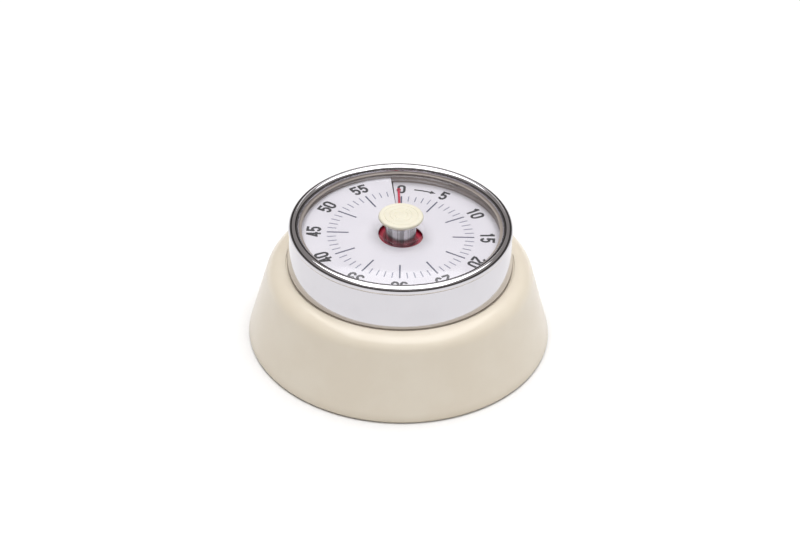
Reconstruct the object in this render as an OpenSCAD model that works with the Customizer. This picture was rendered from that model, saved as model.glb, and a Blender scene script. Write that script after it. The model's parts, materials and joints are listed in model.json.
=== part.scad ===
// Mechanical sixty-minute kitchen timer.
// A clockwork movement hangs from the foot of a chrome drum that stands on a flared base shell.
// The knob turns the spindle, and a spiral red disc climbs out of a slit in the white dial.
// All sizes are in millimetres. +Z is up, the origin is the centre of the face it stands on,
// and the zero of the dial is at the back, towards +Y. Minutes count clockwise seen from above.

/* [Base] */
// Height of the shoulder's top
base_h = 19.25; // [16:0.05:26]
// Lean of the side away from upright, in degrees
side_lean = 15.7; // [6:0.1:16]
// Radius of the round shoulder
shoulder_fillet = 4.6; // [3:0.1:5.5]
// Width of the flat ring between the drum's groove and the round shoulder
shoulder_flat = 0; // [0:0.1:4]
// Sheet thickness of the base shell
shell_t = 0.8; // [0.6:0.05:1.2]
// Thickness of the moulded base plate
base_plate_t = 1.2; // [0.8:0.1:2]
// Height of the rubber foot ring
foot_h = 1.0; // [0.6:0.1:2]
// Width of the rubber foot ring
foot_w = 3.0; // [2:0.1:5]

/* [Drum] */
// Outside diameter of the drum at its foot
drum_d = 51.8; // [44:0.1:64]
// How much narrower the drum's radius is at the top than at the foot
drum_taper = 0.75; // [0:0.05:1.5]
// Height of the drum's wall below the bead
drum_h = 8.85; // [7.5:0.05:13]
// Sheet thickness of the drum
drum_t = 0.6; // [0.5:0.05:0.9]
// Section radius of the rolled bead
bead_r = 1.2; // [0.8:0.05:1.3]
// Thickness of the clear window
window_t = 0.5; // [0.4:0.05:1]
// Width of the ring that holds the window, inside the bead
window_ring_w = 0.65; // [0.4:0.05:1]

/* [Dial] */
// Thickness of the white dial sheet
dial_t = 0.25; // [0.15:0.05:0.4]
// Diameter of the hole in the middle of the dial
dial_hole_d = 10.2; // [9:0.1:13]
// Thickness of the red disc sheet
disc_t = 0.2; // [0.1:0.05:0.3]
// Height that the dial and the red disc climb in one full turn
spiral_rise = 1.4; // [1:0.05:1.8]
// Height of the red disc above the dial where it shows
disc_over = 0.45; // [0.4:0.01:0.5]
// Where the dial's slit is, in degrees clockwise from its zero
slit_angle = -6; // [-9:0.5:-4]
// Width of the pointer
pointer_w = 0.53; // [0.4:0.01:0.9]
// Outer radius of the ring at the pointer's tip
pointer_ring_r = 0.5; // [0.4:0.05:0.8]

/* [Knob] */
// Diameter of the knob cap
cap_d = 10.2; // [9.8:0.1:16]
// Thickness of the knob cap
cap_t = 1.15; // [0.9:0.05:2.5]
// How far the cap's top stands above the bead
knob_rise = 2.0; // [1.7:0.1:6]
// Diameter of the chrome sleeve where the disc hub slides on it
sleeve_d = 7.0; // [5.6:0.1:8]

/* [Movement] */
// Diameter of the main spindle
spindle_d = 4.0; // [3.2:0.1:4.8]
// Thickness of the two movement plates
plate_t = 1.0; // [0.7:0.1:1.3]
// Height of the bell
bell_h = 4.2; // [3:0.1:5.5]
// Outside diameter of the bell
bell_d = 34; // [26:0.5:34]
// Thickness of the train's wheels
wheel_t = 0.6; // [0.4:0.05:0.7]
// Teeth of the main wheel, the second wheel and the third wheel
wheel_teeth = [60, 48, 40];
// Leaves of the pinions that they drive
pinion_teeth = [10, 8, 8];
// Diameter of the wheels' arbors
arbor_d = 1.4; // [1.0:0.05:1.5]
// Play between the teeth of two wheels in mesh
backlash = 0.08; // [0.05:0.01:0.12]
// Turns of the mainspring inside its barrel
spring_turns = 6; // [4:1:8]

/* [Hidden] */
$fn = 96;

// Fits and gaps
run_fit = 0.05;     // radial play of a shaft in its hole
close_fit = 0.1;    // play round a piece that drops into another
end_play = 0.1;     // play of a shaft along its length
past = 1;           // how far a cut runs past the face that it opens
window_gap = 0.12;  // space between the red disc at its highest and the window
seat_drop = 0.5;    // depth of the groove that the drum's foot stands in
groove_gap = 0.4;   // width of the shadow line round the drum's foot
edge_r = 0.5;       // bevel at the bottom of the shell
foot_inset = 1;     // the foot ring stands this far inside the shell
shell_z = 0.2;      // the shell's edge hangs this far above the table

// Base and drum radii
drum_r = drum_d / 2;
wall_top_r = drum_r - drum_taper;
bead_ring_r = wall_top_r - 0.75 * bead_r;
groove_r = drum_r + groove_gap;
arc_r = groove_r + shoulder_flat; // centre of the shoulder's arc
arc_z = base_h - shoulder_fillet;
move_r = drum_r - 3.1;             // room for the movement inside the drum's foot

// Heights, from the table upwards
base_r = arc_r + shoulder_fillet / cos(side_lean) + (arc_z - shell_z - edge_r) * tan(side_lean);
base_top_z = foot_h + base_plate_t;
bell_clear = 0.6;                  // air under the bell's mouth
bell_z = base_top_z + bell_clear;
post_h = 1.0;
back_z = bell_z + bell_h + post_h;
back_top_z = back_z + plate_t;
seat_z = base_h - seat_drop;
front_z = seat_z + drum_t;
front_top_z = front_z + plate_t;
wall_top_z = seat_z + drum_h;
bead_z = wall_top_z + bead_r;
bead_top_z = bead_z + bead_r;
pillar_h = front_z - back_top_z;

// Window, dial and red disc
window_r = bead_ring_r - 0.9 * bead_r;
window_top_z = bead_z - sqrt(pow(bead_r, 2) - pow(bead_ring_r - window_r, 2));
window_z = window_top_z - window_t;
window_ring_t = 0.3;
window_ring_out_r = bead_ring_r - sqrt(pow(bead_r, 2) - pow(bead_z - window_top_z - window_ring_t, 2));
window_ring_in_r = window_ring_out_r - window_ring_w;
surround_r = window_r - 0.35;
surround_foot_r = surround_r - 0.1;
surround_out_r = wall_top_r - drum_t - close_fit;
// The surround steps in below the bead and holds the window from inside it
surround_shelf_z = min(wall_top_z, window_z) - close_fit;
bead_reach = sqrt(max(0, pow(bead_r, 2) - pow(bead_z - window_z, 2)));
surround_neck_r = min(surround_out_r, bead_ring_r - bead_reach - close_fit);
dial_z = window_z - window_gap - disc_t / 2 - disc_over - spiral_rise;
disc_under = spiral_rise - disc_over; // depth of the red disc under the dial where it hides
dial_r = surround_foot_r + 0.1;    // its edge is pressed into the surround
disc_r = surround_foot_r - 0.6;
step = 3;                          // degrees between the points of a spiral edge
lip_gap = 0.7;                     // half the slit, in degrees
disc_lead = -0.5;                  // leading edge of the red disc, in degrees past the slit
disc_span = 354;                   // sweep of the red disc
pointer_lead = 4;                  // pointer, in degrees past the slit
tip_r = dial_r - 3.7;              // ring at the pointer's tip, over the row of figures

// Knob
cap_r = cap_d / 2;
cap_top_z = bead_top_z + knob_rise;
cap_z = cap_top_z - cap_t;
sleeve_r = sleeve_d / 2;
sleeve_neck_r = sleeve_r + 0.1;
flare_r = min(sleeve_neck_r + 0.8, cap_r - 0.5);
flare_h = 1.0;
spindle_r = spindle_d / 2;
spindle_foot_r = spindle_r - 0.5;  // where it turns in the back plate
cap_hole_h = 0.35;                 // depth of the spindle's seat in the cap
ring_groove = 0.2;
ring_depth = 0.06;

// Hub that carries the red disc and the pointer
hub_bore_r = sleeve_r + run_fit;
hub_wall = 0.5;
hub_r = hub_bore_r + hub_wall;
disc_low_z = dial_z - disc_under;
disc_high_z = dial_z + disc_over;
hub_z = disc_low_z - hub_wall;
hub_h = disc_high_z + disc_t - hub_z;
hub_lift = spiral_rise * disc_span / 360;
sleeve_straight_z = hub_z + hub_h + hub_lift + 0.15;

// Gear train
pressure_angle = 28;
module_1 = (move_r - 0.12) / (35 + 0.875 * (wheel_teeth[1] / 2 + 0.8));
modules = [module_1, 0.875 * module_1, 0.75 * module_1];
function pitch_r(teeth, m) = teeth * m / 2;
main_reach = pitch_r(wheel_teeth[0] + pinion_teeth[0], modules[0]);
second_reach = pitch_r(wheel_teeth[1] + pinion_teeth[1], modules[1]);
third_reach = pitch_r(wheel_teeth[2] + pinion_teeth[2], modules[2]);
anchor_reach = 16.25 * module_1;

// Each arbor stands at a distance from the spindle, and the next angle follows from the reach
function next_angle(angle, r1, r2, reach) =
    angle + acos((r1 * r1 + r2 * r2 - reach * reach) / (2 * r1 * r2));
arbor_dist = [main_reach, 36.25 * module_1, 38.75 * module_1, 40 * module_1];
second_angle = 20;
third_angle = next_angle(second_angle, arbor_dist[0], arbor_dist[1], second_reach);
escape_angle = next_angle(third_angle, arbor_dist[1], arbor_dist[2], third_reach);
anchor_angle = next_angle(escape_angle, arbor_dist[2], arbor_dist[3], anchor_reach);
function polar(r, a) = [r * cos(a), r * sin(a), 0];
second_at = polar(arbor_dist[0], second_angle);
third_at = polar(arbor_dist[1], third_angle);
escape_at = polar(arbor_dist[2], escape_angle);
anchor_at = polar(arbor_dist[3], anchor_angle);
function heading(from, to) = atan2(to[1] - from[1], to[0] - from[0]);

// Wheels stand on levels between the plates
level_step = (pillar_h - 1.3) / 4;
function level(k) = back_top_z + 0.8 + k * level_step;
pinion_over = 0.3;                 // how far a pinion's leaves reach past the wheel in mesh
arbor_r = arbor_d / 2;
pivot_r = arbor_r - 0.2;
escape_teeth = 15;
escape_r = 11.25 * module_1;
tooth_h = 2.2 * module_1;
pallet_gap = 0.1;
pallet_span = 2.25 * 360 / escape_teeth;

// Barrel and mainspring
barrel_z = level(1) + wheel_t + 0.4;
barrel_r = arbor_dist[1] - pitch_r(wheel_teeth[2], modules[2]) - modules[2] - 0.3;
barrel_t = 0.4;
ribbon_t = 0.2;
spring_gap = 0.3;                  // air over and under the mainspring

// Ratchet on the main wheel
ratchet_r = 4.6;
ratchet_t = 0.5;
ratchet_depth = 0.7;
ratchet_z = level(0) + wheel_t + close_fit;

// Hammer and bell
bell_r = bell_d / 2;
bell_t = 0.7;
hammer_dist = bell_r + 2.2;
hammer_angle = 200;
hammer_at = polar(hammer_dist, hammer_angle);
hammer_head_r = 1.0;
hammer_head_h = 2.4;
strike_gap = 0.3;
strike_angle = 222;                // where the head meets the bell, seen from the spindle
head_at = polar(bell_r + hammer_head_r + strike_gap, strike_angle);
arm_z = back_z - 1.4;
arm_t = 0.8;
cam_r = 6.5;
cam_z = front_top_z + 0.4;
cam_t = 0.6;
cam_gap = 0.25;
lever_w = 1.6;

// Sound slots in the base plate
sound_slot_r = 6;
sound_slot_l = 7;
sound_slot_w = 1.6;
sound_slot_step = 30;

// Fasteners
pillar_r = 1.2;
pillar_dist = move_r - 2.0;
pillar_angles = [150, 250, 335];
screw_r = 0.7;
head_t = 0.7;
head_r = 1.5;
case_head_r = 1.1;
slot_w = 0.3;
slot_depth = 0.3;
case_screw_dist = move_r + (drum_r - move_r) / 2 - 0.25;
case_screw_angles = [95, 215, 305];

// ---------- shared shapes ----------

// A flat washer of two radii
module washer(r_out, r_in, h) {
    difference() {
        cylinder(r = r_out, h = h);
        bore(r_in, h);
    }
}

// Straight hole through a piece that stands on z = 0 and is h high
module bore(r, h) { translate([0, 0, -past]) cylinder(r = r, h = h + 2 * past); }

// Turned solid, from the points of its half outline as [radius, height]
module lathe(points) { rotate_extrude($fn = 128) polygon(points); }

// Same shape at several places round the axis
module around(angles, dist) {
    for (a = angles) rotate([0, 0, a]) translate([dist, 0, 0]) children();
}

// Screw with a slotted pan head. The shank runs up from z = 0 and the head hangs below it
module screw(shank, length, head) {
    cylinder(r = shank, h = length);
    translate([0, 0, -head_t]) difference() {
        cylinder(r = head, h = head_t);
        translate([-head, -slot_w / 2, -past]) cube([2 * head, slot_w, slot_depth + past]);
    }
}

// Points of one side of an involute tooth, from the root to the tip
function involute_angle(r, base) =
    r <= base ? 0 : sqrt(pow(r / base, 2) - 1) * 180 / PI - acos(base / r);
function flank(teeth, m, root, tip, side) = [
    for (i = [0:4])
        let (pitch = pitch_r(teeth, m), base = pitch * cos(pressure_angle))
        let (r = root + (tip - root) * (side > 0 ? 4 - i : i) / 4)
        let (half = 90 / teeth - backlash / 4 / pitch * 180 / PI)
        let (turn = half + involute_angle(pitch, base) - involute_angle(r, base))
        [r, side * turn]
];
// Outline of a whole wheel, with a tooth centred on the X axis
function gear_outline(teeth, m) =
    let (pitch = pitch_r(teeth, m), root = pitch - 1.05 * m, tip = pitch + 0.8 * m)
    [
        for (k = [0:teeth - 1])
            for (p = concat(flank(teeth, m, root, tip, -1), flank(teeth, m, root, tip, 1)))
                [p[0] * cos(p[1] + k * 360 / teeth), p[0] * sin(p[1] + k * 360 / teeth)]
    ];
module gear(teeth, m, h) { linear_extrude(h) polygon(gear_outline(teeth, m)); }

// A wheel with a bore and five spokes left between its windows
module spoked_gear(teeth, m, shaft) {
    rim = pitch_r(teeth, m) - 2.6 * m;
    hub = shaft + 1.1;
    spoke_w = 0.7;
    mid = (rim + hub) / 2;
    difference() {
        gear(teeth, m, wheel_t);
        bore(shaft, wheel_t);
        for (k = [0:4]) rotate([0, 0, 36 + 72 * k]) translate([mid, 0, 0])
            bore(min((rim - hub) / 2, mid * sin(36) - spoke_w / 2), wheel_t);
    }
}

// Arbor between the plates, thinner where it turns in them, with a pinion cut on it
module pinion_arbor(teeth, m, k, toothed) {
    translate([0, 0, back_z + end_play])
        cylinder(r = pivot_r, h = front_top_z - back_z - 2 * end_play);
    arbor_body();
    if (toothed) translate([0, 0, level(k) - pinion_over])
        gear(teeth, m, wheel_t + 2 * pinion_over);
}

// The thick middle of an arbor, clear of both plates
module arbor_body() {
    translate([0, 0, back_top_z + 2 * end_play]) cylinder(r = arbor_r, h = pillar_h - 4 * end_play);
}

// Wheel of a stage: it sits on its arbor and its first tooth points at the next arbor
module stage_wheel(at, next, stage) {
    translate(at + [0, 0, level(stage)]) rotate([0, 0, heading(at, next)])
        spoked_gear(wheel_teeth[stage], modules[stage], arbor_r);
}

// Arbor of a stage: the gap between two leaves points back at the wheel that drives it
module stage_arbor(at, driver, stage) {
    translate(at) rotate([0, 0, heading(at, driver) + 180 / pinion_teeth[stage]])
        pinion_arbor(pinion_teeth[stage], modules[stage], stage, true);
}

// Thin spiral sheet between two radii. The angle a counts clockwise from the slit
function spiral_z(a) = dial_z + spiral_rise * a / 360;
function dial_xy(r, a) = [r * sin(a + slit_angle), r * cos(a + slit_angle)];
module spiral_sheet(r_in, r_out, a0, a1, drop, t) {
    n = ceil((a1 - a0) / step);
    points = [
        for (i = [0:n])
            let (a = a0 + (a1 - a0) * i / n, z = spiral_z(a) - drop)
            let (inner = dial_xy(r_in, a), outer = dial_xy(r_out, a))
            for (p = [[inner, -1], [outer, -1], [outer, 1], [inner, 1]])
                [p[0][0], p[0][1], z + p[1] * t / 2]
    ];
    sides = [
        for (i = [0:n - 1], k = [0:3])
            let (b = 4 * i, j = (k + 1) % 4)
            for (f = [[b + k, b + j, b + j + 4], [b + k, b + j + 4, b + k + 4]]) f
    ];
    ends = [[0, 3, 2], [0, 2, 1], [4 * n, 4 * n + 1, 4 * n + 2], [4 * n, 4 * n + 2, 4 * n + 3]];
    polyhedron(points = points, faces = concat(sides, ends));
}

// ---------- case ----------

// The side leans in from the base's edge, and the shoulder's arc touches both it and the top
function side_r(z, inset) =
    base_r - inset / cos(side_lean) - (z - shell_z - edge_r) * tan(side_lean);
function shoulder(inset) = [
    for (i = [0:12])
        let (a = side_lean + (90 - side_lean) * i / 12, r = shoulder_fillet - inset)
        [arc_r + r * cos(a), arc_z + r * sin(a)]
];

module base_shell() {
    lip_r = move_r + close_fit;
    inner = [for (p = shoulder(shell_t)) if (p[0] > groove_r + shell_t) p];
    color("#e5ddcb") difference() {
        rotate_extrude($fn = 128) polygon(concat(
            [[side_r(shell_z, shell_t), shell_z], [base_r - edge_r, shell_z]],
            [[base_r, shell_z + edge_r]],
            shoulder(0),
            [[groove_r, base_h - 0.1], [groove_r, seat_z], [lip_r, seat_z]],
            [[lip_r, seat_z - shell_t], [groove_r + shell_t, seat_z - shell_t]],
            [for (i = [len(inner) - 1:-1:0]) inner[i]]
        ));
        around(case_screw_angles, case_screw_dist)
            translate([0, 0, seat_z - shell_t]) bore(screw_r, shell_t);
    }
}

// Plate with a ring of slots under the bell that let its sound out
module base_plate() {
    rim_r = side_r(base_top_z, shell_t) - close_fit;
    color("#2b2b2d") translate([0, 0, foot_h]) difference() {
        cylinder(r = rim_r, h = base_plate_t, $fn = 128);
        around(pillar_angles, pillar_dist) bore(screw_r, base_plate_t);
        for (a = [0:sound_slot_step:359]) rotate([0, 0, a])
            translate([sound_slot_r, -sound_slot_w / 2, -past])
            cube([sound_slot_l, sound_slot_w, base_plate_t + 2 * past]);
    }
}

module foot_ring() {
    out_r = side_r(base_top_z, shell_t) - foot_inset;
    color("#3a3a3c") washer(out_r, out_r - foot_w, foot_h);
}

module base_screws() {
    color("#b9bbbd") around(pillar_angles, pillar_dist)
        translate([0, 0, foot_h]) screw(screw_r, base_plate_t + 2, head_r);
}

module chrome_drum() {
    lip_r = move_r + close_fit;
    color("#d9dadd") difference() {
        rotate_extrude($fn = 128) union() {
            polygon([
                [lip_r, seat_z], [drum_r, seat_z], [wall_top_r, wall_top_z],
                [wall_top_r, bead_z], [wall_top_r - drum_t, bead_z],
                [wall_top_r - drum_t, wall_top_z], [drum_r - drum_t, front_z],
                [lip_r, front_z]
            ]);
            translate([bead_ring_r, bead_z]) circle(r = bead_r, $fn = 48);
        }
        around(case_screw_angles, case_screw_dist)
            translate([0, 0, seat_z]) bore(screw_r, drum_t);
    }
}

module dial_surround() {
    color("#857d7a") lathe([
        [surround_foot_r, front_top_z], [surround_out_r, front_top_z],
        [surround_out_r, surround_shelf_z], [surround_neck_r, surround_shelf_z],
        [surround_neck_r, window_z], [surround_r, window_z],
        [surround_foot_r, disc_low_z]
    ]);
}

module window() {
    color("#dfe8ee", 0.3) translate([0, 0, window_z])
        washer(window_r, dial_hole_d / 2 + 0.3, window_t);
}

// Snap ring on top of the window, under the bead's inner side
module window_ring() {
    color("#8a827e") translate([0, 0, window_top_z])
        washer(window_ring_out_r, window_ring_in_r, window_ring_t);
}

module dial_plate() {
    color("#eae8ec")
        spiral_sheet(dial_hole_d / 2, dial_r, lip_gap, 360 - lip_gap, 0, dial_t);
}

// ---------- movement frame ----------

// Pivot holes of the train, the anchor and the hammer
module pivot_holes() {
    for (at = [second_at, third_at, escape_at, anchor_at, hammer_at])
        translate(at) bore(pivot_r + run_fit, plate_t);
}

module front_plate() {
    color("#c9b177") translate([0, 0, front_z]) difference() {
        cylinder(r = drum_r - drum_t - 4 * close_fit, h = plate_t, $fn = 128);
        bore(spindle_r + run_fit, plate_t);
        pivot_holes();
        around(pillar_angles, pillar_dist) bore(screw_r, plate_t);
        around(case_screw_angles, case_screw_dist) bore(screw_r, plate_t);
    }
}

module back_plate() {
    color("#c9b177") translate([0, 0, back_z]) difference() {
        cylinder(r = move_r, h = plate_t, $fn = 128);
        bore(spindle_foot_r + run_fit, plate_t);
        pivot_holes();
        around(pillar_angles, pillar_dist) bore(screw_r, plate_t);
    }
}

module pillars() {
    color("#b8a063") around(pillar_angles, pillar_dist) difference() {
        union() {
            translate([0, 0, back_top_z]) cylinder(r = pillar_r, h = pillar_h);
            translate([0, 0, back_z - 1.2]) cylinder(r = screw_r, h = plate_t + 1.3);
        }
        translate([0, 0, front_z - 2]) cylinder(r = screw_r, h = 2 + past);
    }
}

module plate_screws() {
    color("#b9bbbd") around(pillar_angles, pillar_dist)
        translate([0, 0, front_top_z]) mirror([0, 0, 1]) screw(screw_r, plate_t + 1.8, head_r);
}

module standoffs() {
    color("#b8a063") around(pillar_angles, pillar_dist) difference() {
        translate([0, 0, base_top_z]) cylinder(r = 1.6, h = back_z - base_top_z, $fn = 6);
        translate([0, 0, base_top_z]) bore(screw_r, back_z - base_top_z);
    }
}

module case_screws() {
    color("#b9bbbd") around(case_screw_angles, case_screw_dist)
        translate([0, 0, seat_z - shell_t]) screw(screw_r, shell_t + drum_t + plate_t, case_head_r);
}

module spring_barrel() {
    color("#c2a968") difference() {
        translate([0, 0, barrel_z]) cylinder(r = barrel_r, h = front_z - barrel_z);
        translate([0, 0, barrel_z + barrel_t])
            cylinder(r = barrel_r - barrel_t, h = front_z - barrel_z);
        translate([0, 0, barrel_z]) bore(spindle_r + barrel_t, barrel_t);
    }
}

// Spiral ribbon from the spindle's side out to the barrel's wall
module mainspring() {
    r0 = spindle_r + 0.5;
    r1 = barrel_r - barrel_t - ribbon_t - 0.15;
    n = spring_turns * 24;
    function edge(i, out) =
        let (r = r0 + (r1 - r0) * i / n + out * ribbon_t, a = 15 * i) [r * cos(a), r * sin(a)];
    color("#5e6a76") translate([0, 0, barrel_z + barrel_t + spring_gap])
        linear_extrude(front_z - barrel_z - barrel_t - 2 * spring_gap)
        polygon(concat([for (i = [0:n]) edge(i, 0)], [for (i = [n:-1:0]) edge(i, 1)]));
}

// ---------- bell ----------

module bell() {
    top = bell_z + bell_h;
    curve = 2.0;
    function profile(inset) = [
        for (a = [0:15:90])
            [
                bell_r - curve + (curve - inset) * cos(a),
                top - curve + (curve - inset) * sin(a)
            ]
    ];
    color("#cfd0d2") difference() {
        lathe(concat(
            [[bell_r - bell_t, bell_z], [bell_r, bell_z]], profile(0),
            [[0, top], [0, top - bell_t]],
            [for (i = [6:-1:0]) profile(bell_t)[i]]
        ));
        translate([0, 0, bell_z]) bore(screw_r, bell_h);
    }
}

module bell_post() {
    color("#b8a063") translate([0, 0, bell_z + bell_h]) washer(2.4, screw_r, post_h);
}

module bell_screw() {
    color("#b9bbbd") translate([0, 0, bell_z + bell_h - bell_t])
        screw(screw_r, bell_t + post_h, head_r);
}

// Flat leaf on a foot beside the lever, which it presses towards the bell
module hammer_spring() {
    color("#7d858c") translate(hammer_at + [0, 0, front_top_z]) rotate([0, 0, hammer_angle])
        union() {
            translate([-1.2, 2.2, 0]) cube([2.4, 1.4, 0.9]);
            translate([-6.5, 2.2, 0]) cube([5.3, 0.2, 1.2]);
        }
}

// ---------- knob and spindle ----------

module knob_cap() {
    edge = cap_t * 0.42;
    function rim(a0, a1) = [
        for (i = [0:6])
            let (a = a0 + (a1 - a0) * i / 6)
            [cap_r - edge + edge * cos(a), cap_top_z - edge + edge * sin(a)]
    ];
    color("#f1ece0") difference() {
        lathe(concat(
            [[0, cap_z], [cap_r - 0.75, cap_z]], rim(-50, 90), [[0, cap_top_z]]
        ));
        translate([0, 0, cap_z - past]) cylinder(r = spindle_r, h = cap_hole_h + past);
        for (share = [0.29, 0.5, 0.75]) translate([0, 0, cap_top_z - ring_depth])
            washer(cap_r * share + ring_groove / 2, cap_r * share - ring_groove / 2, past);
    }
}

module knob_sleeve() {
    sweep = flare_r - sleeve_neck_r;
    color("#d4d5d8") lathe(concat(
        [
            [spindle_r, cam_z + cam_t], [sleeve_r, cam_z + cam_t],
            [sleeve_r, sleeve_straight_z], [sleeve_neck_r, cap_z - flare_h]
        ],
        [
            for (a = [15:15:90])
                [sleeve_neck_r + sweep * (1 - cos(a)), cap_z - flare_h + flare_h * sin(a)]
        ],
        [[spindle_r, cap_z]]
    ));
}

module spindle() {
    color("#9da1a5") union() {
        translate([0, 0, back_z + end_play]) cylinder(r = spindle_foot_r, h = plate_t + 1);
        translate([0, 0, back_top_z + end_play])
            cylinder(r = spindle_r, h = cap_z + cap_hole_h - back_top_z - end_play);
    }
}

module main_wheel() {
    color("#c9a951") translate([0, 0, level(0)])
        rotate([0, 0, heading([0, 0], second_at)])
        spoked_gear(wheel_teeth[0], modules[0], spindle_r);
}

module ratchet_wheel() {
    teeth = 18;
    outline = [
        for (k = [0:teeth - 1])
            for (p = [[ratchet_r, 0], [ratchet_r - ratchet_depth, 1.5], [ratchet_r - ratchet_depth, 4]])
                let (a = k * 360 / teeth + p[1]) [p[0] * cos(a), p[0] * sin(a)]
    ];
    color("#a8a9ab") translate([0, 0, ratchet_z]) difference() {
        linear_extrude(ratchet_t) polygon(outline);
        bore(spindle_r, ratchet_t);
    }
}

// Pawl on the main wheel's face, just clear of the ratchet's teeth
module click() {
    color("#8c9196") rotate([0, 0, 100]) translate([0, 0, level(0) + wheel_t]) union() {
        translate([ratchet_r + 2.2, 0, 0]) cylinder(r = 0.8, h = ratchet_t + 0.3);
        translate([ratchet_r + 0.25, -0.1, 0.1]) linear_extrude(ratchet_t)
            polygon([[0, 0], [0.3, -0.5], [2.0, -0.5], [2.0, 0.5]]);
    }
}

// Cam with one notch that lets the hammer's lever fall at zero
module trip_cam() {
    outline = [
        for (a = [0:6:354])
            let (r = a < 12 ? cam_r - 1.4 : cam_r)
            [r * cos(a + hammer_angle - 6), r * sin(a + hammer_angle - 6)]
    ];
    color("#e9e4d8") translate([0, 0, cam_z]) difference() {
        linear_extrude(cam_t) polygon(outline);
        bore(spindle_r, cam_t);
    }
}

// ---------- red disc ----------

module time_disc() {
    color("#c2183a") spiral_sheet(
        hub_r - 0.1, disc_r, 360 + disc_lead - disc_span, 360 + disc_lead,
        disc_under, disc_t
    );
}

module disc_hub() {
    color("#8e1530") translate([0, 0, hub_z]) washer(hub_r, hub_bore_r, hub_h);
}

module pointer() {
    z = spiral_z(pointer_lead) + disc_over;
    color("#c81d45") rotate([0, 0, -(pointer_lead + slit_angle)])
        translate([0, 0, z - disc_t / 2]) union() {
            translate([-pointer_w / 2, hub_r - 0.15, 0])
                cube([pointer_w, tip_r - pointer_ring_r * 0.7 - hub_r + 0.15, disc_t]);
            translate([0, tip_r, 0]) washer(pointer_ring_r, pointer_ring_r * 0.45, disc_t);
        }
}

// ---------- train ----------

module second_arbor() { color("#a5a9ad") stage_arbor(second_at, [0, 0], 0); }
module second_wheel() { color("#c9a951") stage_wheel(second_at, third_at, 1); }
module third_arbor() { color("#a5a9ad") stage_arbor(third_at, second_at, 1); }
module third_wheel() { color("#ece7da") stage_wheel(third_at, escape_at, 2); }
module escape_arbor() { color("#a5a9ad") stage_arbor(escape_at, third_at, 2); }

module escape_wheel() {
    outline = [
        for (k = [0:escape_teeth - 1])
            for (p = [[escape_r, 0], [escape_r - tooth_h, 2], [escape_r - tooth_h, 12]])
                let (a = k * 360 / escape_teeth + p[1]) [p[0] * cos(a), p[0] * sin(a)]
    ];
    color("#ece7da") translate(escape_at + [0, 0, level(3)])
        rotate([0, 0, heading(escape_at, anchor_at)]) difference() {
            linear_extrude(wheel_t) polygon(outline);
            bore(arbor_r, wheel_t);
        }
}

module anchor_arbor() {
    color("#a5a9ad") translate(anchor_at) pinion_arbor(0, 1, 3, false);
}

// Two arms that end in pallets, one on each side of the escape wheel
module anchor() {
    pallet_r = escape_r + pallet_gap;
    color("#ece7da") translate(anchor_at + [0, 0, level(3)])
        rotate([0, 0, heading(anchor_at, escape_at)]) difference() {
            union() {
                cylinder(r = arbor_r + 0.7, h = wheel_t);
                for (side = [-1, 1]) {
                    px = anchor_reach - (pallet_r + 0.45) * cos(pallet_span);
                    py = side * (pallet_r + 0.45) * sin(pallet_span);
                    linear_extrude(wheel_t) polygon([
                        [0, 0.5 * side], [px, py + 0.45 * side], [px, py - 0.15 * side],
                        [0.4, -0.4 * side]
                    ]);
                    translate([px, py, 0]) rotate([0, 0, side * (180 - pallet_span)])
                        translate([-0.45, -0.2, 0]) cube([0.75, 0.4, wheel_t]);
                }
            }
            bore(arbor_r, wheel_t);
        }
}

// Weighted bar that sets the beat, on the same arbor as the anchor
module balance_bar() {
    weight_r = 1.1;
    weight_h = 0.9;
    bar_t = 0.6;
    bar_w = 0.8;
    reach = anchor_reach - arbor_r - weight_r - 0.4;
    bar_z = level(3) + wheel_t + 0.4;
    color("#b9bbbd") translate(anchor_at + [0, 0, bar_z])
        rotate([0, 0, heading(anchor_at, escape_at)]) difference() {
            union() {
                translate([-reach, -bar_w / 2, 0]) cube([2 * reach, bar_w, bar_t]);
                cylinder(r = arbor_r + 0.6, h = bar_t);
                for (side = [-1, 1]) translate([side * reach, 0, 0])
                    cylinder(r = weight_r, h = weight_h);
            }
            bore(arbor_r, weight_h);
        }
}

// ---------- hammer ----------

module hammer_arbor() {
    color("#a5a9ad") translate(hammer_at) union() {
        translate([0, 0, arm_z - 0.2])
            cylinder(r = pivot_r, h = cam_z + cam_t - arm_z + 0.4);
        arbor_body();
    }
}

// Flat strip from one place to another, with round ends and an eye at the start
module strip(from, to, w, t, eye) {
    length = norm(to - from);
    translate(from) rotate([0, 0, heading(from, to)]) difference() {
        union() {
            cylinder(r = w / 2 + 0.3, h = t);
            translate([0, -w / 2, 0]) cube([length, w, t]);
            translate([length, 0, 0]) cylinder(r = w / 2, h = t);
        }
        bore(eye, t);
    }
}

module hammer_arm() {
    color("#9da1a5") translate([0, 0, arm_z]) strip(hammer_at, head_at, 1.2, arm_t, pivot_r);
}

module hammer_head() {
    color("#c9a951") translate(head_at + [0, 0, arm_z - hammer_head_h])
        cylinder(r = hammer_head_r, h = hammer_head_h);
}

module cam_lever() {
    tip = polar(cam_r + cam_gap + lever_w / 2, hammer_angle);
    color("#9da1a5") translate([0, 0, cam_z]) strip(hammer_at, tip, lever_w, cam_t, pivot_r);
}

base_shell();
base_plate();
foot_ring();
base_screws();
chrome_drum();
dial_surround();
window();
window_ring();
dial_plate();
front_plate();
back_plate();
pillars();
plate_screws();
standoffs();
case_screws();
spring_barrel();
mainspring();
bell();
bell_post();
bell_screw();
hammer_spring();
knob_cap();
knob_sleeve();
spindle();
main_wheel();
ratchet_wheel();
click();
trip_cam();
time_disc();
disc_hub();
pointer();
second_arbor();
second_wheel();
third_arbor();
third_wheel();
escape_arbor();
escape_wheel();
anchor_arbor();
anchor();
balance_bar();
hammer_arbor();
hammer_arm();
hammer_head();
cam_lever();
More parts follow.
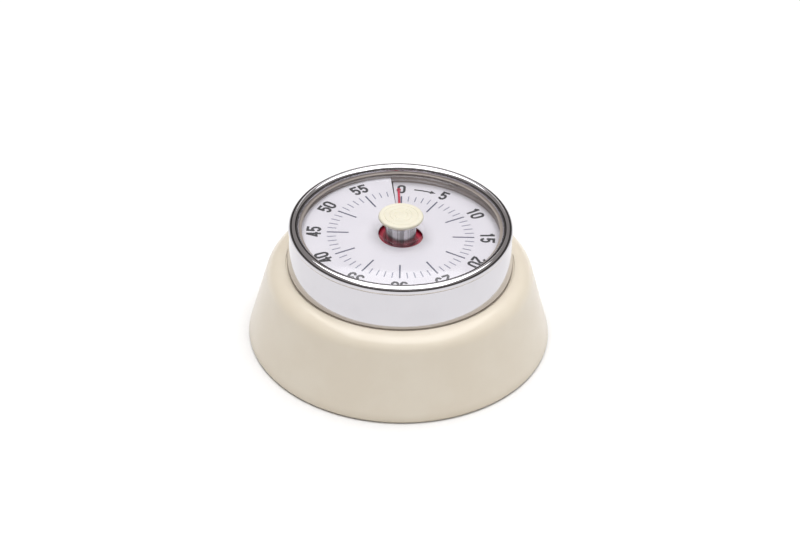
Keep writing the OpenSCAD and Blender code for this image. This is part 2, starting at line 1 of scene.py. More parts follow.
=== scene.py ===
"""Looks of a wind-up kitchen timer.

Enamelled base, chromed drum, spiral dial, red time disc and cream knob. Lengths below are
millimetres unless a name says otherwise; mm() turns them into Blender's metres.
The dial's zero is at the back, towards +Y, and minutes run clockwise seen from above.
"""

import json
import math

import bmesh
import bpy
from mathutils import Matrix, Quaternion, Vector


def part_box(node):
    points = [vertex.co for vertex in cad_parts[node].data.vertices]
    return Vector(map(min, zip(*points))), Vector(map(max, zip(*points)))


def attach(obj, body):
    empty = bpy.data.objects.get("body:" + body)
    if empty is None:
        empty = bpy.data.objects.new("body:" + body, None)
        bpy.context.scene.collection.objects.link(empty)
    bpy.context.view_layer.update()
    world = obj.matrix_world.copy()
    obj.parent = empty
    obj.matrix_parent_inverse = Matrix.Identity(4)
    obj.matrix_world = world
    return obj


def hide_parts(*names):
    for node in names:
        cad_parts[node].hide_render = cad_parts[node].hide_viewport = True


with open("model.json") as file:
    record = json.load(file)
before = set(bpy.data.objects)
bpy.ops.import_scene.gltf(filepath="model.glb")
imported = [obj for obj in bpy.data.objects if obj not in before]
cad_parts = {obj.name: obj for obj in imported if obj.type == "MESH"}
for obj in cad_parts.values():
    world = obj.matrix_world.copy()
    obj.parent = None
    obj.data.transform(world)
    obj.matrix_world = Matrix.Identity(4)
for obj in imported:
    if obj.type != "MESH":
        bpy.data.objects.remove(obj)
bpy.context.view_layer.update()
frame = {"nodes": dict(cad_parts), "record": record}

MM = 0.001
TURN = 2 * math.pi
ROUND_STEPS = 192
CREASE = 32
MERGE_GAP = 0.0005


def mm(*values):
    """Millimetres as metres: one number, or a tuple of them."""
    return values[0] * MM if len(values) == 1 else tuple(v * MM for v in values)


def node_box(name):
    """Lowest and highest corner of a CAD node, in millimetres."""
    low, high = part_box(name)
    return low / MM, high / MM


# ---------------------------------------------------------------- sizes

base_low, base_high = node_box("base_shell")
drum_low, drum_high = node_box("chrome_drum")
window_low, window_high = node_box("window")
ring_low, ring_high = node_box("window_ring")
dial_low, dial_high = node_box("dial_plate")
disc_low, disc_high = node_box("time_disc")
surround_low, surround_high = node_box("dial_surround")
cap_low, cap_high = node_box("knob_cap")
sleeve_low, sleeve_high = node_box("knob_sleeve")
hub_low = node_box("disc_hub")[0]
pointer_low, pointer_high = node_box("pointer")
foot_high = node_box("foot_ring")[1]
head_low = node_box("base_screws")[0]

# Base shell
SIDE_LEAN = math.radians(15.7)
GROOVE_GAP = 0.4
SHELL_EDGE = 0.5
SHELL_SHEET = 0.8
SHELL_CORNER_EASE = 0.35
INNER_SHOULDER_R = 2.6

# Foot ring and screws under the base
FOOT_W = 3.0
TREAD = 0.12
SCREW_INSET = 5.1
SCREW_HEAD_R = 1.5
SCREW_SLOT = 0.35

# Drum and its bead
BEAD_R = 1.2
DRUM_TAPER = 0.75
DRUM_SHEET = 0.6
WINDOW_RING_W = 0.65
MOVEMENT_GAP = 3.0
drum_r = drum_high.x
wall_top_r = drum_r - DRUM_TAPER
bead_ring_r = wall_top_r - 0.75 * BEAD_R
bead_z = drum_high.z - BEAD_R

# Dial and red disc
DIAL_SHEET = 0.25
DISC_SHEET = 0.2
DIAL_HOLE_R = 5.1
SLIT_ANGLE = math.radians(-6)
SLIT_HALF = math.radians(0.7)
DISC_LEAD = math.radians(-0.5)
DISC_SWEEP = math.radians(354)
POINTER_BEARING = math.radians(-2)
dial_r = dial_high.x
dial_sweep = TURN - 2 * SLIT_HALF
dial_rise = (dial_high.z - dial_low.z - DIAL_SHEET) * TURN / dial_sweep
dial_z = dial_low.z + DIAL_SHEET / 2 - dial_rise * SLIT_HALF / TURN
disc_start = TURN + DISC_LEAD - DISC_SWEEP
disc_z = disc_low.z + DISC_SHEET / 2 - dial_rise * disc_start / TURN

# Knob and sleeve
SLEEVE_BORE_R = 2.0
SLEEVE_R = 3.5
SLEEVE_NECK_R = 3.6
FLARE_H = 1.0
NECK_DROP = 2.2

# Hub of the red disc and pointer
HUB_R = 4.05
HUB_RIM_W = 0.48
HUB_RIM_LIFT = 0.05
POINTER_INSET = 3.7

# Print on the dial
TICK_OUTER_R = 16.75
FIVE_TICK_INNER_R = 11.8
FIVE_TICK_W = 0.36
ONE_TICK_INNER_R = 14.7
ONE_TICK_W = 0.23
FIGURE_R = 19.75
FIGURE_W = 1.85
FIGURE_GAP = 0.2
INK_T = 0.05
INK_MIDDLE = 0.015
STROKE_HALF = 0.3


# ---------------------------------------------------------------- nodes


class Sock:
    """One output of a node. Arithmetic on it adds Math nodes to its tree."""

    def __init__(self, bench, socket):
        self.bench, self.socket = bench, socket

    def _math(self, operation, first, second=0.0):
        return self.bench.node("ShaderNodeMath", {"operation": operation}, [first, second])

    def __add__(self, other):
        return self._math("ADD", self, other)

    def __sub__(self, other):
        return self._math("SUBTRACT", self, other)

    def __rsub__(self, other):
        return self._math("SUBTRACT", other, self)

    def __mul__(self, other):
        return self._math("MULTIPLY", self, other)

    def __truediv__(self, other):
        return self._math("DIVIDE", self, other)

    def __rtruediv__(self, other):
        return self._math("DIVIDE", other, self)

    def __pow__(self, other):
        return self._math("POWER", self, other)

    def __mod__(self, other):
        return self._math("FLOORED_MODULO", self, other)

    def __gt__(self, other):
        return self._math("GREATER_THAN", self, other)

    __radd__ = __add__
    __rmul__ = __mul__

    def sin(self):
        return self._math("SINE", self)

    def cos(self):
        return self._math("COSINE", self)


class Bench:
    """A node tree under construction."""

    def __init__(self, tree):
        self.tree = tree

    def node(self, kind, settings=(), values=(), out=0):
        """Adds one node. Settings are set first, then values or links go to its sockets.

        values is a list for the first sockets in order, or a dict by socket identifier or name.
        """
        made = self.tree.nodes.new(kind)
        for key, value in dict(settings).items():
            if key == "stops":
                self._set_stops(made.color_ramp.elements, value)
            else:
                setattr(made, key, value)
        pairs = values.items() if isinstance(values, dict) else enumerate(values)
        for key, value in pairs:
            self._put(self._socket(made.inputs, key), value)
        if not made.outputs:
            return None
        return Sock(self, self._socket(made.outputs, out))

    @staticmethod
    def _socket(sockets, key):
        if isinstance(key, int):
            return sockets[key]
        named = [s for s in sockets if key in (s.identifier, s.name)]
        return named[0]

    def _put(self, socket, value):
        if isinstance(value, (list, tuple)) and any(isinstance(v, Sock) for v in value):
            for one in value:
                self.tree.links.new(one.socket, socket)
        elif isinstance(value, Sock):
            self.tree.links.new(value.socket, socket)
        else:
            socket.default_value = value

    @staticmethod
    def _set_stops(elements, stops):
        while len(elements) < len(stops):
            elements.new(1.0)
        for element, (position, shade) in zip(elements, stops):
            element.position = position
            element.color = shade


def tint(code):
    """Linear colour from the six digits of a screen colour."""
    parts = [int(code[i : i + 2], 16) / 255 for i in (0, 2, 4)]
    return (*(p / 12.92 if p <= 0.04045 else ((p + 0.055) / 1.055) ** 2.4 for p in parts), 1.0)


class Finish(Bench):
    """A material whose patterns are laid out in millimetres on the object."""

    def __init__(self, name):
        self.material = bpy.data.materials.new(name)
        self.material.use_nodes = True
        super().__init__(self.material.node_tree)
        self.tree.nodes.clear()
        coords = self.node("ShaderNodeTexCoord", out="Object")
        self.place = self.node(
            "ShaderNodeVectorMath", {"operation": "SCALE"}, {"Vector": coords, "Scale": 1 / MM}
        )
        split = self.node("ShaderNodeSeparateXYZ", (), [self.place], "X")
        self.x = split
        self.y = Sock(self, split.socket.node.outputs["Y"])
        self.z = Sock(self, split.socket.node.outputs["Z"])
        self.radius = (self.x * self.x + self.y * self.y) ** 0.5

    def vector(self, x, y, z):
        return self.node("ShaderNodeCombineXYZ", (), [x, y, z])

    def noise(self, size, detail=3.0, rough=0.5, at=None):
        """Soft noise from 0 to 1 whose features are about size millimetres."""
        values = {"Vector": at or self.place, "Scale": 1 / size, "Detail": detail, "Roughness": rough}
        return self.node("ShaderNodeTexNoise", (), values, "Fac")

    def turned(self, pitch, detail=2.0):
        """Noise drawn out into rings, as a lathe tool or a polishing wheel leaves it."""
        stretch = self.vector(self.radius / pitch, self.z / pitch, self.x * 0.02)
        return self.noise(1.0, detail, 0.6, stretch)

    def brushed(self, pitch):
        """Noise drawn out along X."""
        return self.noise(1.0, 2.0, 0.6, self.vector(self.x * 0.04, self.y / pitch, self.z / pitch))

    def flecks(self, size, share):
        """1 in scattered specks, 0 elsewhere."""
        cells = {"Vector": self.place, "Scale": 1 / size}
        gap = self.node("ShaderNodeTexVoronoi", {"feature": "F1"}, cells, "Distance")
        return self.band(gap, share, share * 0.6)

    def band(self, value, low, high):
        """0 at low and 1 at high, smooth between."""
        ends = {"Value": value, "From Min": low, "From Max": high}
        return self.node("ShaderNodeMapRange", {"interpolation_type": "SMOOTHSTEP"}, ends)

    def blend(self, share, one, other):
        """Colour one, going to colour other as share goes to 1."""
        values = {"Factor_Float": share, "A_Color": one, "B_Color": other}
        return self.node("ShaderNodeMix", {"data_type": "RGBA"}, values, "Result_Color")

    def bump(self, height, depth, over=None):
        """Normal from a height of 0 to 1 that stands for depth millimetres."""
        values = {"Height": height, "Strength": 1.0, "Distance": mm(depth)}
        if over:
            values["Normal"] = over
        return self.node("ShaderNodeBump", (), values)

    def shade(self, **inputs):
        """Principled shader on the output. Underscores in the names stand for spaces."""
        values = {key.replace("_", " "): value for key, value in inputs.items()}
        shader = self.node("ShaderNodeBsdfPrincipled", (), values)
        return self.surface(shader)

    def surface(self, shader):
        self.node("ShaderNodeOutputMaterial", (), {"Surface": shader})
        return self.material


# ---------------------------------------------------------------- finishes


def cream_enamel():
    """Stoved enamel on pressed sheet: orange peel, faint forming bands, darker towards the bottom edge.
    """
    f = Finish("cream_enamel")
    cloud = f.noise(9.0, 4.0)
    colour = f.blend(f.band(cloud, 0.35, 0.7), tint("e4dac8"), tint("e7decd"))
    # Darker towards the bottom edge
    colour = f.blend(f.band(f.z, 2.5, 0.2) * 0.5, colour, tint("c9bda6"))
    colour = f.blend(f.flecks(2.2, 0.035) * 0.25, colour, tint("b3a68e"))
    peel = f.noise(0.9, 2.0)
    forming = f.noise(1.0, 2.0, 0.5, f.vector(f.z / 0.8, f.radius / 3, 0.0))
    return f.shade(
        Base_Color=colour,
        Roughness=0.27 + f.noise(5.0) * 0.12,
        Normal=f.bump(forming, 0.006, f.bump(peel, 0.003)),
        Coat_Weight=0.35,
        Coat_Roughness=0.12,
    )


def chrome_plate():
    """Bright plating with a polishing wheel's rings, light hazing and a few wiping marks.

    Close to the axis, on the knob's stem, it is duller, and its colour is darkened in upright streaks:
    painted reflections and painted shade under the cap.
    """
    f = Finish("chrome_plate")
    haze = f.band(f.noise(7.0, 4.0), 0.45, 0.8)
    rings = f.turned(0.12)
    wipes = f.band(f.noise(1.0, 3.0, 0.7, f.vector(f.x / 5, f.y / 5, f.z / 0.25)), 0.62, 0.8)
    colour = f.blend(haze * 0.5, (0.66, 0.65, 0.68, 1), (0.61, 0.60, 0.63, 1))
    stem = f.band(f.radius, 6.0, 5.0)
    # Painted reflection and painted shade: dark upright streaks laid into the stem's colour
    painted_reflection_streaks = f.band(f.noise(1.0, 2.0, 0.6, f.vector(f.x / 0.9, f.y / 0.9, 0.3)), 0.42, 0.6)
    colour = f.blend(stem * painted_reflection_streaks * 0.85, colour, (0.27, 0.26, 0.265, 1))
    return f.shade(
        Base_Color=colour,
        Metallic=1.0 - stem * 0.25,
        Roughness=0.05 + haze * 0.03 + wipes * 0.04 + stem * 0.2,
        Normal=f.bump(rings, 0.0006),
    )


def satin_grey():
    """Spun aluminium ring, satin anodised in warm grey."""
    f = Finish("satin_grey")
    rings = f.turned(0.18, 3.0)
    colour = f.blend(f.band(rings, 0.3, 0.7), tint("8c8480"), tint("a0978f"))
    return f.shade(
        Base_Color=colour,
        Metallic=0.35,
        Roughness=0.34 + rings * 0.12,
        Normal=f.bump(rings, 0.004),
    )


def clear_window():
    """Clear acrylic: see-through face on, brighter reflections at a slant, with faint wiping haze."""
    f = Finish("clear_window")
    wave = f.noise(14.0, 2.0)
    smear = f.band(f.noise(6.0, 4.0, 0.6), 0.5, 0.85)
    normal = f.bump(wave, 0.01)
    slant = f.node("ShaderNodeLayerWeight", (), {"Blend": 0.5, "Normal": normal}, "Facing")
    gloss = 0.04 + 0.96 * slant**5
    mirror_values = {"Color": (0.96, 0.96, 0.98, 1), "Roughness": 0.02 + smear * 0.05, "Normal": normal}
    mirror = f.node("ShaderNodeBsdfAnisotropic", {"distribution": "GGX"}, mirror_values)
    clear = f.node("ShaderNodeBsdfTransparent", (), {"Color": (0.985, 0.985, 0.99, 1)})
    return f.surface(f.node("ShaderNodeMixShader", (), [gloss, clear, mirror]))


def white_dial():
    """White lacquer on thin sheet, with a fine rolled grain, a few dust specks and painted shade round
    its rim.
    """
    f = Finish("white_dial")
    grain = f.noise(0.25, 2.0)
    cloud = f.noise(12.0, 3.0)
    colour = f.blend(f.band(cloud, 0.3, 0.75), tint("d5d3d9"), tint("dad8dd"))
    colour = f.blend(f.flecks(3.1, 0.02) * 0.35, colour, tint("b9b6bd"))
    # Painted shade: darker towards the rim, where the grey ring and the drum's bead shade the dial
    colour = f.blend(f.band(f.radius, 21.6, 23.1) * 0.25, colour, tint("bdb9c0"))
    return f.shade(
        Base_Color=colour,
        Roughness=0.42 + f.noise(4.0) * 0.1,
        Normal=f.bump(grain, 0.0015),
        Coat_Weight=0.15,
        Coat_Roughness=0.2,
    )


def dial_ink(name, code):
    """Screen-printed ink: slightly uneven in depth, a little glossier than the lacquer."""
    f = Finish(name)
    thin = f.band(f.noise(0.5, 3.0, 0.6), 0.45, 0.8)
    pale = tuple(c * 1.35 + 0.01 for c in tint(code)[:3]) + (1.0,)
    return f.shade(
        Base_Color=f.blend(thin * 0.25, tint(code), pale),
        Roughness=0.45 + thin * 0.1,
        Normal=f.bump(f.noise(0.12, 2.0), 0.002),
    )


def cream_plastic():
    """Moulded urea knob: fine matt skin, faint flow lines, rubbed smooth in the middle."""
    f = Finish("cream_plastic")
    flow = f.noise(1.0, 3.0, 0.5, f.vector(f.x / 6, f.y / 2, f.z))
    rubbed = f.band(f.radius, 4.6, 1.5)
    colour = f.blend(f.band(flow, 0.35, 0.7), tint("d6d1bf"), tint("dad6c5"))
    colour = f.blend(f.flecks(1.7, 0.04) * 0.3, colour, tint("c4bca6"))
    return f.shade(
        Base_Color=colour,
        Roughness=0.42 - rubbed * 0.1 + flow * 0.06,
        Normal=f.bump(f.noise(0.35, 2.0), 0.004),
        Coat_Weight=0.1,
        Subsurface_Weight=0.08,
        Subsurface_Radius=(0.002, 0.0015, 0.001),
    )


def red_lacquer(name, deep, bright, pitch):
    """Red paint on thin sheet or moulding, worn paler along its turned marks."""
    f = Finish(name)
    rings = f.turned(pitch, 3.0)
    cloud = f.noise(3.0, 3.0)
    colour = f.blend(f.band(cloud, 0.35, 0.7), tint(deep), tint(bright))
    colour = f.blend(f.band(rings, 0.6, 0.85) * 0.3, colour, tint("c9506a"))
    return f.shade(
        Base_Color=colour,
        Roughness=0.38 + cloud * 0.14,
        Normal=f.bump(rings, 0.003),
        Coat_Weight=0.2,
        Coat_Roughness=0.25,
    )


def base_moulding():
    """Black polystyrene with a spark-eroded skin, scuffed where it has been handled."""
    f = Finish("base_moulding")
    skin = f.noise(0.3, 3.0, 0.6)
    scuff = f.band(f.noise(1.0, 4.0, 0.7, f.vector(f.x / 1.2, f.y / 7, f.z)), 0.6, 0.8)
    return f.shade(
        Base_Color=f.blend(scuff * 0.5, tint("2a2a2c"), tint("4a4a4d")),
        Roughness=0.5 + skin * 0.15 - scuff * 0.1,
        Normal=f.bump(skin, 0.02),
    )


def foot_rubber():
    """Dull rubber with bloom and fine grit in it."""
    f = Finish("foot_rubber")
    bloom = f.band(f.noise(4.0, 4.0), 0.45, 0.75)
    grit = f.noise(0.2, 2.0)
    return f.shade(
        Base_Color=f.blend(bloom * 0.5, tint("2f2f31"), tint("56565a")),
        Roughness=0.75 + grit * 0.15,
        Normal=f.bump(grit, 0.015),
    )


def metal(name, clean, stained, roughness, marks, pitch=0.15, stain=0.6):
    """Bare or plated metal: tool marks from turning or drawing, and clouds of tarnish."""
    f = Finish(name)
    lines = f.turned(pitch) if marks == "turned" else f.brushed(pitch)
    cloud = f.band(f.noise(3.5, 4.0, 0.6), 0.45, 0.8)
    colour = f.blend(cloud * stain, tint(clean), tint(stained))
    colour = f.blend(f.band(lines, 0.55, 0.85) * 0.25, colour, tint(stained))
    return f.shade(
        Base_Color=colour,
        Metallic=1.0,
        Roughness=roughness + cloud * 0.12 + lines * 0.06,
        Normal=f.bump(lines, 0.003),
    )


def blued_steel():
    """Spring steel, tempered blue with straw and purple where the heat was uneven."""
    f = Finish("blued_steel")
    heat = f.node(
        "ShaderNodeValToRGB",
        {"stops": [(0.3, tint("8a6a3c")), (0.48, tint("5b4468")), (0.75, tint("34507a"))]},
        [f.noise(5.0, 3.0)],
    )
    drawn = f.brushed(0.12)
    return f.shade(
        Base_Color=heat, Metallic=1.0, Roughness=0.28 + drawn * 0.1, Normal=f.bump(drawn, 0.003)
    )


def white_nylon():
    """Natural nylon: milky, with faint sink marks and a waxy skin."""
    f = Finish("white_nylon")
    sink = f.noise(2.0, 3.0)
    return f.shade(
        Base_Color=f.blend(f.band(sink, 0.3, 0.7), tint("e6e1d2"), tint("f0ece1")),
        Roughness=0.36 + sink * 0.14,
        Normal=f.bump(f.noise(0.3, 2.0), 0.004),
        Subsurface_Weight=0.15,
        Subsurface_Radius=(0.002, 0.0018, 0.0015),
    )


def floor_paper():
    """Matt white paper sweep with barely visible fibre."""
    f = Finish("floor_paper")
    fibre = f.noise(1.5, 4.0, 0.6)
    return f.shade(
        Base_Color=f.blend(fibre, (0.79, 0.79, 0.795, 1), (0.82, 0.82, 0.825, 1)),
        Roughness=0.8,
        Specular_IOR_Level=0.2,
        Normal=f.bump(fibre, 0.01),
    )


FINISHES = {
    "cream_enamel": cream_enamel(),
    "chrome_plate": chrome_plate(),
    "satin_grey": satin_grey(),
    "clear_window": clear_window(),
    "white_dial": white_dial(),
    "cream_plastic": cream_plastic(),
    "base_moulding": base_moulding(),
    "foot_rubber": foot_rubber(),
    "blued_steel": blued_steel(),
    "white_nylon": white_nylon(),
    "red_sheet": red_lacquer("red_sheet", "b01636", "c41e42", 0.3),
    "red_moulding": red_lacquer("red_moulding", "84122c", "971935", 0.5),
    "plated_steel": metal("plated_steel", "c4c6c9", "8f9296", 0.24, "turned", 0.1),
    "rolled_brass": metal("rolled_brass", "cdb27a", "96793f", 0.3, "drawn"),
    "turned_brass": metal("turned_brass", "c9ac6a", "8d713b", 0.26, "turned"),
    "bell_steel": metal("bell_steel", "cfd1d3", "9a9ca0", 0.16, "turned", 0.3, 0.4),
    "arbor_steel": metal("arbor_steel", "a9adb1", "74787d", 0.22, "turned", 0.08),
    "gear_brass": metal("gear_brass", "d0b060", "94793a", 0.25, "drawn", 0.1),
}
figure_ink = dial_ink("figure_ink", "2b2c30")
tick_ink = dial_ink("tick_ink", "54566a")
minute_ink = dial_ink("minute_ink", "7d7f92")


# ---------------------------------------------------------------- meshes


def rounded(points, parts=6):
    """Closed outline in which a point given as (r, z, radius) becomes an arc of that radius."""
    made = []
    for i, point in enumerate(points):
        here = Vector(point[:2])
        if len(point) == 2:
            made.append(here)
            continue
        back = (Vector(points[i - 1][:2]) - here).normalized()
        ahead = (Vector(points[(i + 1) % len(points)][:2]) - here).normalized()
        half = back.angle(ahead) / 2
        centre = here + (back + ahead).normalized() * (point[2] / math.sin(half))
        start = here + back * (point[2] / math.tan(half)) - centre
        end = here + ahead * (point[2] / math.tan(half)) - centre
        sweep = math.atan2(start.cross(end), start.dot(end))
        for k in range(parts + 1):
            c, s = math.cos(sweep * k / parts), math.sin(sweep * k / parts)
            made.append(centre + Vector((start.x * c - start.y * s, start.x * s + start.y * c)))
    return made


def held(outline, reach=0.06):
    """Adds a point close to each end of a long straight, so that it shades as flat."""
    made = []
    for i, here in enumerate(outline):
        ahead = outline[(i + 1) % len(outline)] - here
        made.append(here)
        if ahead.length > 8 * reach:
            step = ahead.normalized() * reach
            made += [here + step, here + ahead - step]
    return made


def arc(r, z, radius, start, end, parts):
    """Points of an arc of the outline, from one angle to another in degrees."""
    angles = [math.radians(start + (end - start) * k / parts) for k in range(parts + 1)]
    return [Vector((r + radius * math.cos(a), z + radius * math.sin(a))) for a in angles]


def closed_mesh(name, verts, faces, crease=CREASE):
    """Mesh with merged doubles and outward normals, smooth but for edges sharper than crease."""
    mesh = bpy.data.meshes.new(name)
    mesh.from_pydata([mm(*v) for v in verts], [], faces)
    tidy(mesh, crease)
    return mesh


def tidy(mesh, crease=CREASE):
    """Merges doubles, turns the normals outwards and marks the sharp edges."""
    work = bmesh.new()
    work.from_mesh(mesh)
    bmesh.ops.remove_doubles(work, verts=work.verts, dist=mm(MERGE_GAP))
    bmesh.ops.recalc_face_normals(work, faces=work.faces)
    work.to_mesh(mesh)
    work.free()
    mesh.shade_smooth()
    mesh.set_sharp_from_angle(angle=math.radians(crease))


def lathe(outline, steps=ROUND_STEPS, at=(0.0, 0.0)):
    """Vertices and faces of a closed outline of (r, z) points turned round the vertical at a place."""
    verts, rings = [], []
    for r, z in held(outline):
        count = 1 if r < 1e-6 else steps
        rings.append(range(len(verts), len(verts) + count))
        for k in range(count):
            a = TURN * k / count
            verts.append((at[0] + r * math.cos(a), at[1] + r * math.sin(a), z))
    faces = []
    for one, other in zip(rings, rings[1:] + rings[:1]):
        if len(one) == len(other) == 1:
            continue
        for k in range(steps):
            j = (k + 1) % steps
            if len(one) == 1:
                faces.append((one[0], other[k], other[j]))
            elif len(other) == 1:
                faces.append((one[k], other[0], one[j]))
            else:
                faces.append((one[k], other[k], other[j], one[j]))
    return verts, faces


def piece(name, mesh, finish, body, stands_for=()):
    """Object at the origin that rides on a body and stands for CAD nodes."""
    made = bpy.data.objects.new(name, mesh)
    bpy.context.scene.collection.objects.link(made)
    mesh.materials.clear()
    mesh.materials.append(finish)
    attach(made, body)
    if stands_for:
        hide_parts(*stands_for)
    return made


def turned_piece(name, outline, slot, body, stands_for, crease=CREASE):
    """Piece turned from an outline, in the finish of its slot."""
    mesh = closed_mesh(name, *lathe(outline), crease)
    return piece(name, mesh, FINISHES[slot], body, stands_for)


# ---------------------------------------------------------------- node-made shapes


class Shape(Bench):
    """A geometry node tree with named inputs, run once on a host mesh."""

    def __init__(self, name, inputs):
        tree = bpy.data.node_groups.new(name, "GeometryNodeTree")
        super().__init__(tree)
        tree.interface.new_socket("Geometry", in_out="INPUT", socket_type="NodeSocketGeometry")
        for label in inputs:
            tree.interface.new_socket(label, in_out="INPUT", socket_type="NodeSocketFloat")
        tree.interface.new_socket("Geometry", in_out="OUTPUT", socket_type="NodeSocketGeometry")
        self.enter = tree.nodes.new("NodeGroupInput")

    def given(self, label):
        return Sock(self, self.enter.outputs[label])

    def end(self, geometry, finish):
        solid = self.node("GeometryNodeRealizeInstances", (), {"Geometry": geometry})
        done = self.node("GeometryNodeSetMaterial", (), {"Geometry": solid, "Material": finish})
        self.node("NodeGroupOutput", (), {"Geometry": done})
        return self.tree


def grown(name, tree, values, places=((0.0, 0.0, 0.0),)):
    """Plain mesh that a shape's tree makes from named values on a host with these vertices."""
    host_mesh = bpy.data.meshes.new(name + "_host")
    host_mesh.from_pydata([mm(*p) for p in places], [], [])
    host = bpy.data.objects.new(name + "_host", host_mesh)
    bpy.context.scene.collection.objects.link(host)
    modifier = host.modifiers.new("grow", "NODES")
    modifier.node_group = tree
    sockets = {s.name: s.identifier for s in tree.interface.items_tree if s.in_out == "INPUT"}
    for label, value in values.items():
        modifier[sockets[label]] = float(value)
    graph = bpy.context.evaluated_depsgraph_get()
    mesh = bpy.data.meshes.new_from_object(host.evaluated_get(graph), depsgraph=graph)
    mesh.name = name
    host.modifiers.remove(modifier)
    bpy.data.objects.remove(host)
    tidy(mesh)
    return mesh


def spiral_height(shape, angle):
    """Height of the dial's spiral at an angle clockwise from the slit."""
    return shape.given("Height") + shape.given("Rise") * angle / TURN


def spiral_sheet_tree(name, finish):
    """Thin sheet between two radii that climbs one rise in a full turn."""
    s = Shape(name, ["Inner", "Outer", "Start", "Sweep", "Height", "Rise", "Sheet"])
    grid_values = {"Size X": 1.0, "Size Y": 1.0, "Vertices X": 9, "Vertices Y": 361}
    grid = s.node("GeometryNodeMeshGrid", (), grid_values, "Mesh")
    spot = s.node("GeometryNodeInputPosition")
    across = s.node("ShaderNodeSeparateXYZ", (), [spot], "X") + 0.5
    along = s.node("ShaderNodeSeparateXYZ", (), [spot], "Y") + 0.5
    radius = s.given("Inner") + (s.given("Outer") - s.given("Inner")) * across
    angle = s.given("Start") + s.given("Sweep") * along
    bearing = angle + SLIT_ANGLE
    height = spiral_height(s, angle) + s.given("Sheet") * 0.5
    place = s.node("ShaderNodeCombineXYZ", (), [radius * bearing.sin(), radius * bearing.cos(), height])
    over = s.node("GeometryNodeSetPosition", (), {"Geometry": grid, "Position": place})
    drop = {"Mesh": over, "Offset Scale": s.given("Sheet"), "Individual": False}
    under = s.node("GeometryNodeExtrudeMesh", {"mode": "FACES"}, drop, "Mesh")
    back = s.node("GeometryNodeFlipFaces", (), {"Mesh": over})
    both = s.node("GeometryNodeJoinGeometry", (), {"Geometry": [under, back]})
    closed = s.node("GeometryNodeMergeByDistance", (), {"Geometry": both, "Distance": mm(MERGE_GAP)})
    return s.end(closed, finish)


def ticks_tree(name, finish):
    """Radial strokes that lie on the dial's spiral, one for each Step minutes."""
    s = Shape(name, ["Count", "Step", "From", "Inner", "Outer", "Width", "Ink", "Height", "Rise"])
    count = s.given("Count")
    points = s.node("GeometryNodePoints", (), {"Count": count})
    index = s.node("GeometryNodeInputIndex")
    bearing = index * s.given("Step") * (TURN / 60)
    angle = (bearing - SLIT_ANGLE) % TURN
    middle = (s.given("Inner") + s.given("Outer")) * 0.5
    spot = [middle * bearing.sin(), middle * bearing.cos(), spiral_height(s, angle)]
    place = s.node("ShaderNodeCombineXYZ", (), spot)
    set_values = {"Geometry": points, "Position": place}
    placed = s.node("GeometryNodeSetPosition", (), set_values)
    size = [s.given("Width"), s.given("Outer") - s.given("Inner"), s.given("Ink")]
    stroke_values = {"Size": s.node("ShaderNodeCombineXYZ", (), size), "Vertices Y": 5}
    stroke = s.node("GeometryNodeMeshCube", (), stroke_values, "Mesh")
    wanted = (index % 5.0) > (s.given("From") - 0.5)
    turn = s.node("ShaderNodeCombineXYZ", (), [0.0, 0.0, 0.0 - bearing])
    on_points = {"Points": placed, "Instance": stroke, "Rotation": turn, "Selection": wanted}
    return s.end(s.node("GeometryNodeInstanceOnPoints", (), on_points), finish)


def screws_tree(name, finish):
    """Slotted pan heads, one hanging from each vertex of the host."""
    s = Shape(name, ["Radius", "Height", "Slot"])
    radius, height, slot = s.given("Radius"), s.given("Height"), s.given("Slot")
    shank = {"Vertices": 48, "Side Segments": 2, "Radius": radius, "Depth": height}
    head = s.node("GeometryNodeMeshCylinder", (), shank, "Mesh")
    dome = {"Segments": 48, "Rings": 24, "Radius": radius * 1.25}
    ball = s.node("GeometryNodeMeshUVSphere", (), dome, "Mesh")
    ball_spot = s.node("ShaderNodeCombineXYZ", (), [0.0, 0.0, radius * 1.25 - height * 0.5])
    ball = s.node("GeometryNodeTransform", (), {"Geometry": ball, "Translation": ball_spot})
    pan_values = {"Mesh": [head, ball]}
    pan = s.node("GeometryNodeMeshBoolean", {"operation": "INTERSECT"}, pan_values, "Mesh")
    bar_size = s.node("ShaderNodeCombineXYZ", (), [radius * 3, slot, height])
    bar = s.node("GeometryNodeMeshCube", (), {"Size": bar_size}, "Mesh")
    bar_spot = s.node("ShaderNodeCombineXYZ", (), [0.0, 0.0, 0.0 - height * 0.55])
    bar = s.node("GeometryNodeTransform", (), {"Geometry": bar, "Translation": bar_spot})
    cut_values = {"Mesh 1": pan, "Mesh 2": bar}
    cut = s.node("GeometryNodeMeshBoolean", {"operation": "DIFFERENCE"}, cut_values, "Mesh")
    spin = s.node("GeometryNodeInputIndex") * 0.9
    turn = s.node("ShaderNodeCombineXYZ", (), [0.0, 0.0, spin])
    on_points = {"Points": s.given("Geometry"), "Instance": cut, "Rotation": turn}
    return s.end(s.node("GeometryNodeInstanceOnPoints", (), on_points), finish)


def ribs_tree(name, finish):
    """Low round-ended ribs set radially round a ring."""
    s = Shape(name, ["Count", "Ring", "Length", "Width", "Height", "Level"])
    points = s.node("GeometryNodePoints", (), {"Count": s.given("Count")})
    bearing = s.node("GeometryNodeInputIndex") * TURN / s.given("Count")
    ring = s.given("Ring")
    spot = [ring * bearing.cos(), ring * bearing.sin(), s.given("Level")]
    place = s.node("ShaderNodeCombineXYZ", (), spot)
    placed = s.node("GeometryNodeSetPosition", (), {"Geometry": points, "Position": place})
    ball = s.node("GeometryNodeMeshUVSphere", (), {"Segments": 12, "Rings": 8, "Radius": 1.0}, "Mesh")
    size = s.node("ShaderNodeCombineXYZ", (), [s.given("Length"), s.given("Width"), s.given("Height")])
    rib = s.node("GeometryNodeTransform", (), {"Geometry": ball, "Scale": size})
    turn = s.node("ShaderNodeCombineXYZ", (), [0.0, 0.0, bearing])
    on_points = {"Points": placed, "Instance": rib, "Rotation": turn}
    return s.end(s.node("GeometryNodeInstanceOnPoints", (), on_points), finish)


# ---------------------------------------------------------------- case


